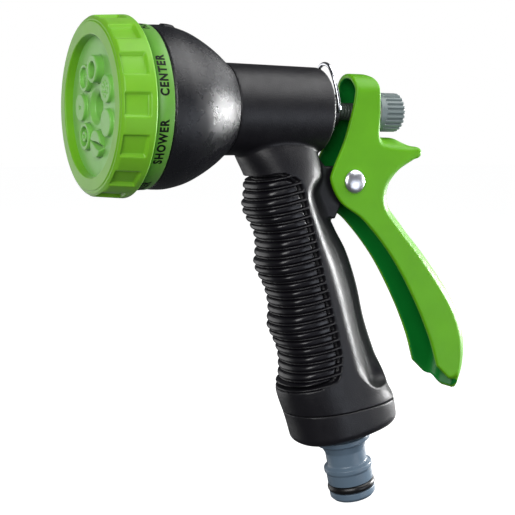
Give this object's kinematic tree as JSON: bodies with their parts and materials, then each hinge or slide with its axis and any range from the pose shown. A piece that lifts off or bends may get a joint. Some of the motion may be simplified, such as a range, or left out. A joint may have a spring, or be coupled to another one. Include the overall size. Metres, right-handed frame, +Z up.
{
  "type": "hose spray nozzle",
  "caption": "Pistol-grip garden hose nozzle with a turning multi-pattern spray dial, rear squeeze lever, flow knob, wire bail and click-on hose nipple.",
  "frame": {"origin": "centre of the hose inlet's end face, at the foot of the handle", "axes": "-X is the way the water leaves, along the barrel; +Z up; +Y across the nozzle; the handle's axis leans 12.71 degrees from Z in the XZ plane"},
  "size_m": [0.1499, 0.06, 0.175],
  "materials": {
    "body_black": "fine-grained satin moulding",
    "grip_rubber": "glossy moulded ribs",
    "seal_rubber": "satin",
    "dial_green": "satin gloss",
    "label_green": "satin gloss with printed words",
    "face_green": "satin gloss",
    "lever_green": "gloss",
    "adapter_grey": "satin gloss",
    "knob_grey": "satin",
    "acetal": "satin",
    "chrome": "polished",
    "steel": "turned",
    "brass": "turned"
  },
  "bodies": {
    "body": {"bell_housing": "body_black", "main_body": "body_black", "grip_pad": "grip_rubber", "grip_end_collar": "body_black", "manifold_plate": "body_black", "outlet_seal": "seal_rubber", "outlet_seal_spring": "steel", "detent_ball": "steel", "detent_spring": "steel", "outlet_duct": "acetal", "hose_adapter": "adapter_grey", "adapter_seal_ring": "seal_rubber", "spigot_seal_ring": "seal_rubber", "inlet_filter": "steel", "water_tube": "acetal", "valve_seat": "acetal", "seat_seal_ring": "seal_rubber", "return_spring": "steel", "rear_cap": "body_black", "stem_seal_ring": "seal_rubber", "gland_nut": "body_black", "lever_rivet": "chrome", "dial_screw": "steel", "screw_washer": "steel"},
    "dial": {"dial_grip_ring": "dial_green", "label_ring": "label_green", "spray_plate": "face_green", "jet_insert": "face_green", "shower_insert": "face_green", "cone_insert": "face_green", "fan_insert": "face_green", "dial_gasket": "seal_rubber", "dial_back_plate": "acetal"},
    "lever": {"lever": "lever_green"},
    "stem": {"valve_stem": "steel", "poppet": "acetal", "poppet_seal": "seal_rubber"},
    "thrust_washer": {"thrust_washer": "acetal"},
    "knob": {"flow_knob": "knob_grey", "knob_insert": "brass"},
    "lock_wire": {"lock_wire": "chrome"}
  },
  "joints": [
    {"name": "dial_turn", "type": "hinge", "parent": "body", "child": "dial", "pos_m": [-0.10415, 0, 0.14333], "axis": [1, 0, 0], "continuous": true},
    {"name": "lever_squeeze", "type": "hinge", "parent": "body", "child": "lever", "pos_m": [-0.00625, 0, 0.11813], "axis": [0, 1, 0], "range_deg": [0, 9.5], "stiffness_Nm_per_rad": 1, "springref_deg": -5.73},
    {"name": "stem_slide", "type": "slide", "parent": "body", "child": "stem", "axis": [1, 0, 0], "range_m": [0, 0.0049], "deforming": ["return_spring"]},
    {"name": "knob_advance", "type": "slide", "parent": "stem", "child": "thrust_washer", "axis": [1, 0, 0], "range_m": [0, 0.0025]},
    {"name": "knob_turn", "type": "hinge", "parent": "thrust_washer", "child": "knob", "pos_m": [0.00595, 0, 0.14333], "axis": [1, 0, 0], "range_deg": [0, 730]},
    {"name": "wire_swing", "type": "hinge", "parent": "body", "child": "lock_wire", "pos_m": [-0.01295, 0, 0.14333], "axis": [0, 1, 0], "range_deg": [0, 30]}
  ],
  "couplings": [
    {"joint": "stem_slide", "follows": "lever_squeeze", "m_per_rad": 0.0295},
    {"joint": "knob_turn", "follows": "knob_advance", "rad_per_m": 5026.6}
  ]
}
